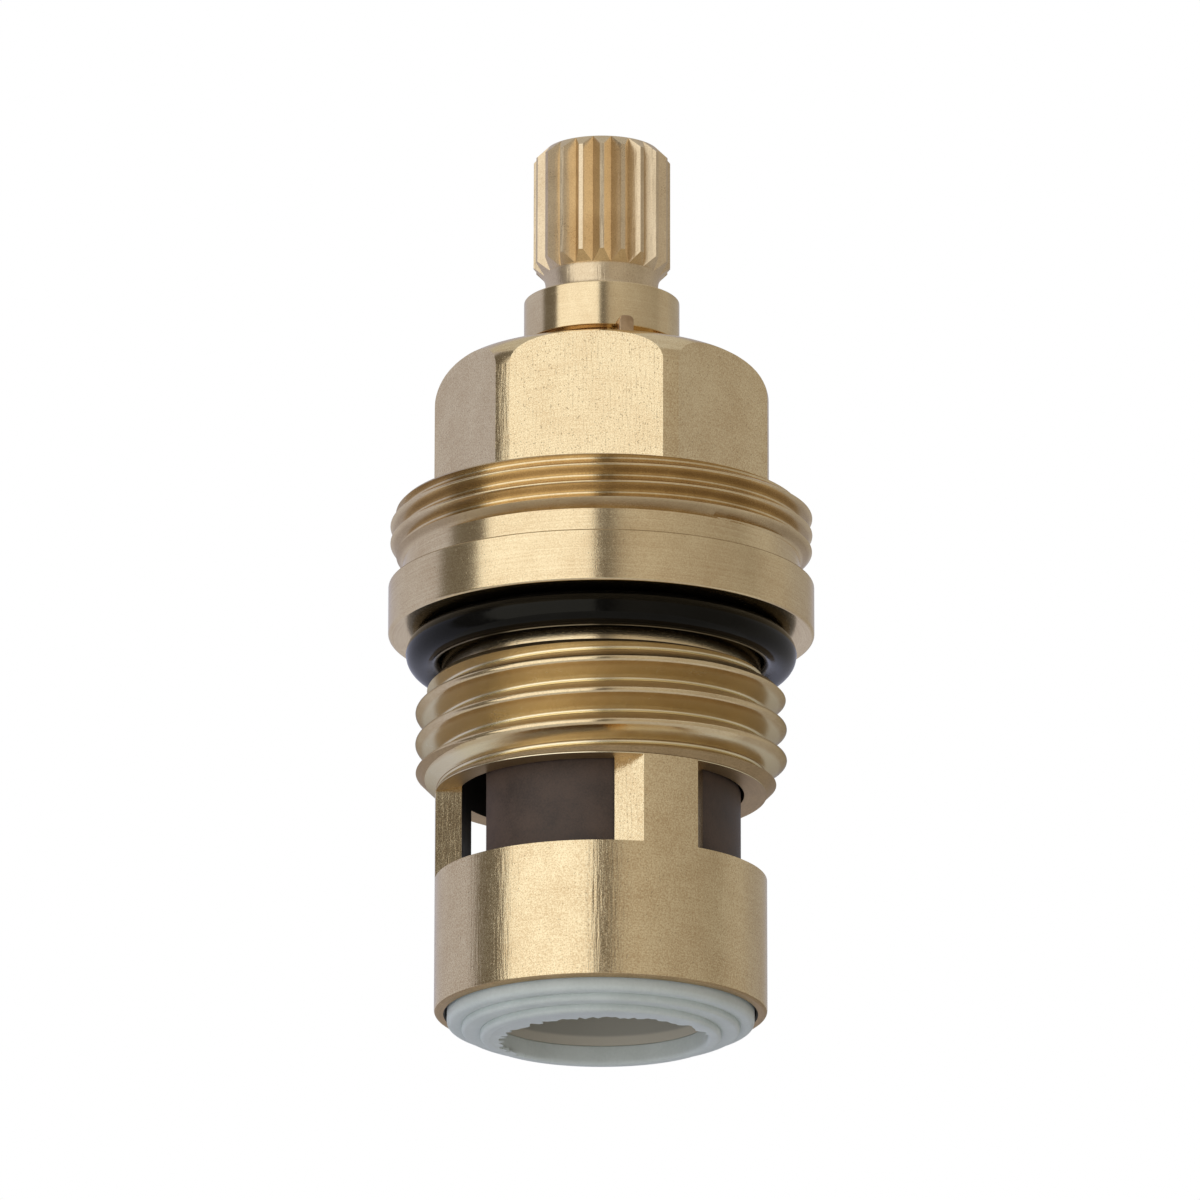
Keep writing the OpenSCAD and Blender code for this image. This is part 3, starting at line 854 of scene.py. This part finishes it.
# %% Turn up its end
EAR_LOW, EAR_TOP = CLIP_LOW + CLIP_H / 2, Z_TOP + 1.8
EAR_ROUND, EAR_BREAK = 0.3, 0.07
ear = block("clip_ear", (EAR_T, EAR_W, EAR_TOP - EAR_LOW), (EAR_R + EAR_T / 2, 0, (EAR_TOP + EAR_LOW) / 2))
pick(ear, "EDGE", lambda e: all(v.co.z > (EAR_TOP - HAIR) * MM for v in e.verts)
     and abs(e.verts[0].co.x - e.verts[1].co.x) > NEAR * MM)
bpy.ops.mesh.bevel(offset=EAR_ROUND * MM, segments=6, affect="EDGES")
bpy.ops.mesh.select_all(action="SELECT")
bpy.ops.mesh.bevel(offset=EAR_BREAK * MM, segments=2, affect="EDGES")
turn_about_axis(ear, EAR_ANGLE)
combine(clip, ear, "UNION")
print("clip:", len(clip.data.polygons), "faces")

# %% [markdown]
# ## Bronze strip
# Rolled strip is a little redder and duller than the turned brass, with a soft cloudy tarnish.

# %% Dress the clip
def strip_bronze():
    """Rolled bronze with a fine grain under its tarnish."""
    material, shader, place = new_finish("strip_bronze")
    cloud = place.noise(place, scale=1.6, detail=3.0)
    grain = place.noise(place, scale=9.0, detail=2.0)
    feed(shader, "Base Color", cloud.ramp(0.3, 0.7).mix((0.46, 0.31, 0.18, 1), (0.62, 0.44, 0.27, 1)))
    feed(shader, "Metallic", 1.0)
    feed(shader, "Roughness", grain * 0.15 + cloud * 0.1 + 0.22)
    feed(shader, "Normal", bump(grain, 0.006))
    return material


clip.data.materials.append(strip_bronze())
smooth(clip, degrees=35)
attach(clip, "spindle_unit")
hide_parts("retaining_clip")
print("clip dressed,", open_edges(clip), "open edges")

# %% [markdown]
# ## The rubber ring under the flange
# A moulded O-ring is a torus with a fine flash line where the mould halves met. The torus is the start,
# and its outermost loop of edges is drawn out a little to make that line.

# %% Make the O-ring
RING_CORD, RING_GAP, MOULD_LINE, SAME_LEVEL = 2.0, 0.03, 0.02, 1e-6
RING_R = RELIEF_R + RING_GAP + RING_CORD / 2
RING_Z = Z_FLANGE - RING_GAP - RING_CORD / 2
bpy.ops.object.select_all(action="DESELECT")
bpy.ops.mesh.primitive_torus_add(
    major_segments=160, minor_segments=40, major_radius=RING_R * MM, minor_radius=RING_CORD / 2 * MM,
    location=(0, 0, RING_Z * MM),
)
o_ring = settle("flange_ring")
bpy.ops.object.mode_set(mode="EDIT")
line_points = pick(
    o_ring, "VERT", lambda v: abs(v.co.z - RING_Z * MM) < SAME_LEVEL and radius_of(v.co) > RING_R)
swell = 1 + MOULD_LINE / (RING_R + RING_CORD / 2)
bpy.ops.transform.resize(value=(swell, swell, 1))
close_up(o_ring)
print("mould line:", line_points, "points")

# %% [markdown]
# ## Rubber, silicone, ceramic and plastic
# The remaining finishes are dull ones. Each has a fine grain at its own scale, a change of colour that is
# just visible, and a gloss that varies: satin black rubber, pale blue-grey silicone, sintered ceramic
# with tiny grains, and moulded plastic.

# %% Dull finishes
def dull(name, dark, light, rough, grain_scale, relief_mm, sheen=0.5, shine=(1, 1, 1)):
    """A non-metal with a cloudy colour, a fine grain and a varying gloss."""
    material, shader, place = new_finish(name)
    cloud = place.noise(place, scale=0.5, detail=3.0)
    grain = place.noise(place, scale=grain_scale, detail=3.0, roughness=0.6)
    tint = (cloud * 0.6 + grain * 0.4).ramp(0.3, 0.7)
    feed(shader, "Base Color", tint.mix((*dark, 1), (*light, 1)))
    feed(shader, "Roughness", (grain - 0.5) * 0.3 + (cloud - 0.5) * 0.2 + rough)
    feed(shader, "Normal", bump(grain, relief_mm))
    feed(shader, "Specular IOR Level", sheen)
    feed(shader, "Specular Tint", (*shine, 1))
    return material


def plastic_painted_lit_rim():
    """Beige plastic with painted light and shade: its lower rim, which shows in the seal's hole, is paler,
    and it is darker above.
    """
    material, shader, place = new_finish("beige_plastic")
    height = axes(place)[2]
    cloud = place.noise(place, scale=0.6, detail=3.0)
    grain = place.noise(place, scale=5.0, detail=3.0)
    # Paler below 1.5 mm and darker above 1.8 mm: painted light at the rim, painted shade deeper in the hole.
    shade = (height.ramp(1.5, 1.8) + (cloud - 0.5) * 0.3).ramp(0.0, 1.0)
    feed(shader, "Base Color", shade.mix((0.62, 0.585, 0.50, 1), (0.41, 0.40, 0.355, 1)))
    feed(shader, "Roughness", grain * 0.2 + 0.35)
    feed(shader, "Normal", bump(grain, 0.006))
    return material


black_rubber = dull("satin_rubber", (0.002, 0.002, 0.002), (0.004, 0.004, 0.004), rough=0.13,
                    grain_scale=4.0, relief_mm=0.004, sheen=0.17, shine=(1.0, 0.95, 0.78))
pale_silicone = dull("pale_silicone", (0.63, 0.69, 0.67), (0.71, 0.77, 0.755), rough=0.5,
                     grain_scale=5.0, relief_mm=0.006, sheen=0.4)
brown_ceramic = dull("brown_ceramic", (0.045, 0.029, 0.021), (0.098, 0.064, 0.047), rough=0.5,
                     grain_scale=9.0, relief_mm=0.006, sheen=0.4)
ivory_ceramic = dull("ivory_ceramic", (0.76, 0.70, 0.58), (0.84, 0.79, 0.68), rough=0.3,
                     grain_scale=10.0, relief_mm=0.003)
white_plastic = dull("white_plastic", (0.80, 0.80, 0.77), (0.88, 0.88, 0.85), rough=0.4,
                     grain_scale=5.0, relief_mm=0.005)
beige_plastic = plastic_painted_lit_rim()
dull_finishes = black_rubber, pale_silicone, brown_ceramic, ivory_ceramic, white_plastic, beige_plastic
print("dull finishes:", [m.name for m in dull_finishes])

# %% [markdown]
# ## Dressing the ring and the solids that stay
# The O-ring gets its rubber. Six solids keep the shape that they have in the frame, because they are
# simple or hidden, and only get a finish.

# %% Dress the O-ring and the kept solids
o_ring.data.materials.append(black_rubber)
smooth(o_ring, degrees=40)
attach(o_ring, "housing")
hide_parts("flange_o_ring")
kept = {
    "spindle_o_ring_upper": black_rubber, "spindle_o_ring_lower": black_rubber, "moving_disc": brown_ceramic,
    "fixed_disc": ivory_ceramic, "seal_support_ring": beige_plastic, "thrust_washer": white_plastic,
}
for node, finish in kept.items():
    nodes[node].data.materials[0] = finish
print("solids kept with a new finish:", len(kept))

# %% [markdown]
# ## The seat seal
# The seal is one moulded ring with three soft steps below and a round hole. Its outline is drawn with a
# rounding at each step and spun. A small crease lies behind each of the two inner steps.

# %% Mould the seal
HOLE_R, FACE_R, MID_R, RIM_R, SLEEVE_R, POCKET_R = 6.0, 6.8, 7.85, 8.65, 8.0, 6.7
STEP_H, LIP_H, SEAL_TOP, CREASE, SEAL_GAP, SEAL_STEPS = 0.37, 1.1, 5.11, 0.05, 0.05, 256
STEP_ROUND, RIM_ROUND = 0.25, 0.3
seal = lathe("rubber_seal", [
    (HOLE_R, 0, STEP_ROUND),
    (FACE_R, 0, STEP_ROUND),
    (FACE_R - CREASE, STEP_H + CREASE),
    (FACE_R + 2 * CREASE, STEP_H),
    (MID_R, STEP_H, STEP_ROUND),
    (MID_R - CREASE, 2 * STEP_H + CREASE),
    (MID_R + 2 * CREASE, 2 * STEP_H),
    (RIM_R, 2 * STEP_H, RIM_ROUND),
    (RIM_R, Z_MOUTH - SEAL_GAP, 0.2),
    (SLEEVE_R, Z_MOUTH - SEAL_GAP),
    (SLEEVE_R, SEAL_TOP, 0.15),
    (POCKET_R, SEAL_TOP, 0.15),
    (POCKET_R, LIP_H),
    (HOLE_R, LIP_H, 0.1),
], steps=SEAL_STEPS)
print("moulded seal:", len(seal.data.polygons), "faces")

# %% [markdown]
# On the real seal a thin ragged flash stands in the hole at the front. It is a thin disc that loses a
# wide, off-centre circle, whose points are shaken with a fixed seed.

# %% Add the flash
FLASH_R, FLASH_LOW, FLASH_TOP = 6.3, 0.02, 0.14
RAGGED_R, RAGGED_BY, RAGGED_X, RAGGED_Y = 5.95, 0.25, 0.25, 0.85
RAGGED_STEPS, RAGGED_SEED, RAGGED_OVER = 150, 5, 0.1


def ragged_circle():
    """A wide circle with an uneven edge, off-centre towards the back right, as a prism through the flash."""
    chance = random.Random(RAGGED_SEED)
    corners = []
    for step in range(RAGGED_STEPS):
        turn = step * 2 * math.pi / RAGGED_STEPS
        radius = RAGGED_R + chance.uniform(-RAGGED_BY, RAGGED_BY)
        corners.append((RAGGED_X + radius * math.cos(turn), RAGGED_Y + radius * math.sin(turn),
                        FLASH_LOW - RAGGED_OVER))
    return prism("ragged_circle", corners, FLASH_TOP - FLASH_LOW + 2 * RAGGED_OVER)


flash = lathe("seal_flash", [(0, FLASH_LOW), (FLASH_R, FLASH_LOW), (FLASH_R, FLASH_TOP), (0, FLASH_TOP)])
combine(flash, ragged_circle(), "DIFFERENCE")
combine(seal, flash, "UNION")
seal.data.materials.append(pale_silicone)
smooth(seal, degrees=30)
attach(seal, "housing")
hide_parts("seat_seal")
print("seal:", len(seal.data.polygons), "faces,", open_edges(seal), "open edges")

# %% [markdown]
# ## Camera
# The photograph was taken from a little below and a little to the right, with a long lens. The camera
# looks at a point on the axis just below the flange's upper edge, and leans a little, as the part does
# in the picture.

# %% Set the camera
ELEVATION, DISTANCE, LEAN = math.radians(-16.0), 0.600, math.radians(0.09)
AIM = Vector((0, 0, 25.68 * MM))
SENSOR_MM, LENS_MM, SHIFT_X, NEAREST = 36, 316.8, -0.0011, 0.01
azimuth = math.radians(CAMERA_AZIMUTH)
towards = Vector((
    math.sin(azimuth) * math.cos(ELEVATION), -math.cos(azimuth) * math.cos(ELEVATION), math.sin(ELEVATION)))
lens = bpy.data.cameras.new("camera")
lens.sensor_width = SENSOR_MM
lens.lens = LENS_MM
lens.shift_x = SHIFT_X
lens.clip_start = NEAREST
camera = bpy.data.objects.new("camera", lens)
bpy.context.scene.collection.objects.link(camera)
camera.location = AIM + towards * DISTANCE
camera.rotation_euler = towards.to_track_quat("Z", "Y").to_euler()
camera.rotation_euler.rotate_axis("Z", LEAN)
bpy.context.scene.camera = camera
print("camera at", [round(c, 4) for c in camera.location])

# %% [markdown]
# ## A light tent
# Polished brass shows its surroundings, so the light is shaped by what the metal sees. A round tent
# stands about the part: a bright wall to the left of the camera, a narrow dark gap behind the camera, a
# dimmer warm wall to the right, a cool one at the back, and a dark strip at the far left. Its colours are
# given by the angle from the camera, in degrees. The camera doesn't see the tent itself.

# %% Raise the tent's wall
TENT_R, TENT_LOW, TENT_HIGH, TENT_SIDES, TENT_GLOW = 0.5, -0.42, 0.60, 128, 1.12
WHITE, DARK, COOL = (1, 1, 1), (0.14, 0.13, 0.12), (0.44, 0.45, 0.56)
TENT_LEVELS = [
    (-180, COOL), (-99.5, COOL), (-93.5, DARK), (-71.5, DARK), (-67.5, WHITE), (-4.5, WHITE),
    (-2.5, DARK), (3.5, DARK), (12, (0.42, 0.39, 0.35)), (22, (0.47, 0.437, 0.39)),
    (45, (0.40, 0.372, 0.333)), (70, (0.353, 0.328, 0.294)), (88, (0.315, 0.293, 0.262)),
    (98, (0.38, 0.36, 0.335)), (112, (0.39, 0.37, 0.345)), (130, (0.34, 0.33, 0.335)),
    (150, (0.34, 0.33, 0.34)), (180, COOL),
]


def glowing(name):
    """A new material whose usual shader is taken out, to make room for a glow, and its node tree."""
    material = bpy.data.materials.new(name)
    material.use_nodes = True
    tree = material.node_tree
    tree.nodes.remove(tree.nodes["Principled BSDF"])
    return material, tree


bpy.ops.object.select_all(action="DESELECT")
bpy.ops.mesh.primitive_cylinder_add(
    vertices=TENT_SIDES, radius=TENT_R, depth=TENT_HIGH - TENT_LOW, end_fill_type="NOTHING",
    location=(0, 0, (TENT_LOW + TENT_HIGH) / 2))
tent = settle("light_tent")
tent.visible_camera = tent.visible_transmission = False
tent_finish, tree = glowing("tent_wall")
place = Wire(tree, tree.nodes.new("ShaderNodeTexCoord").outputs["Object"])
facing = place.node("ShaderNodeMapping", {}, {
    "Vector": place, "Rotation": (0, 0, math.radians(90 - CAMERA_AZIMUTH))})
around = place.node("ShaderNodeTexGradient", {"gradient_type": "RADIAL"}, {"Vector": facing}, output=1)
colours = around.node("ShaderNodeValToRGB", {}, {0: around})
stops = colours.socket.node.color_ramp.elements
while len(stops) < len(TENT_LEVELS):
    stops.new(0.5)
for stop, (angle, colour) in zip(stops, TENT_LEVELS):
    stop.position = 0.5 + angle / 360
    stop.color = (*colour, 1)
colours.node("ShaderNodeEmission", {}, {"Color": colours, "Strength": TENT_GLOW}).surface()
tent.data.materials.append(tent_finish)
tent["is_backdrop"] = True
print("tent levels:", len(TENT_LEVELS))

# %% [markdown]
# A dimmer white cloth is the tent's roof. It lights what looks upwards, and the camera doesn't see it.

# %% Lay the tent's roof
ROOF_GLOW = 0.55
PURE_WHITE = (1, 1, 1, 1)
bpy.ops.object.select_all(action="DESELECT")
bpy.ops.mesh.primitive_circle_add(
    vertices=TENT_SIDES, radius=TENT_R, fill_type="NGON", location=(0, 0, TENT_HIGH))
roof = settle("tent_roof")
roof.visible_camera = roof.visible_transmission = False
roof_finish, tree = glowing("tent_cloth")
add_node(tree, "ShaderNodeEmission", {}, {"Color": PURE_WHITE, "Strength": ROOF_GLOW}).surface()
roof.data.materials.append(roof_finish)
roof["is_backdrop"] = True
print("roof at", TENT_HIGH, "m")

# %% [markdown]
# ## Floor and background
# The camera looks up at the part, so the pale floor lies well below both. The kind of a ray tells who
# looks: to the camera the floor is nearly white, in reflections it is duller, and for all other light it
# is plain grey paper.

# %% Lay the floor
FLOOR_Z, FLOOR_SIZE, FLOOR_ROUGH = -0.5, 12, 0.7
FLOOR_LOOKED_AT, FLOOR_MIRRORED = 0.75, 0.15


def shown(tree, looked_at, mirrored):
    """A share of white: one for what the camera looks at, one for reflections, and none for other light."""
    path = tree.nodes.new("ShaderNodeLightPath").outputs
    kinds = ("Camera", "Glossy", "Transmission")
    seen, glossy, through = (Wire(tree, path["Is %s Ray" % kind]) for kind in kinds)
    return seen.maths("MAXIMUM", seen * looked_at, seen.maths("MAXIMUM", glossy, through) * mirrored)


bpy.ops.object.select_all(action="DESELECT")
bpy.ops.mesh.primitive_plane_add(size=FLOOR_SIZE, location=(0, 0, FLOOR_Z))
floor = settle("floor")
floor_finish, floor_shader, floor_place = new_finish("pale_floor")
paper = floor_place.noise(floor_place, scale=0.05, detail=3.0)
feed(floor_shader, "Base Color", paper.mix((0.71, 0.71, 0.71, 1), (0.75, 0.75, 0.75, 1)))
feed(floor_shader, "Roughness", FLOOR_ROUGH)
tree = floor_finish.node_tree
share = shown(tree, FLOOR_LOOKED_AT, FLOOR_MIRRORED)
pale = share.node("ShaderNodeEmission", {}, {"Color": PURE_WHITE, "Strength": 1.0})
plain = Wire(tree, floor_shader.outputs[0])
share.node("ShaderNodeMixShader", {}, {0: share, 1: plain, 2: pale}).surface()
floor.data.materials.append(floor_finish)
floor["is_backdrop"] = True
print("floor at", FLOOR_Z, "m")

# %% [markdown]
# The world is pure white to the camera and in reflections, and lights the part at a lower level.

# %% Set the world
WORLD_LIGHT = 0.6
world = bpy.data.worlds.new("studio")
bpy.context.scene.world = world
world.use_nodes = True
share = shown(world.node_tree, 1 - WORLD_LIGHT, 1 - WORLD_LIGHT)
backdrop = share.node("ShaderNodeBackground", {}, {"Color": PURE_WHITE, "Strength": share + WORLD_LIGHT})
backdrop.surface("World Output")
bpy.context.scene.view_settings.view_transform = "Standard"
print("world light:", WORLD_LIGHT)

# %% [markdown]
# ## Sizes and finish
# Both boxes, of the solids and of the visual model, are printed at the end. The visual model has to
# stay inside the box of the solids.

# %% Print the boxes
visual_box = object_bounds()
boxes = {"cad": [list(corner) for corner in cad_box], "visual": [list(corner) for corner in visual_box]}
for label, corners in boxes.items():
    print(label, [[round(c / MM, 3) for c in corner] for corner in corners])
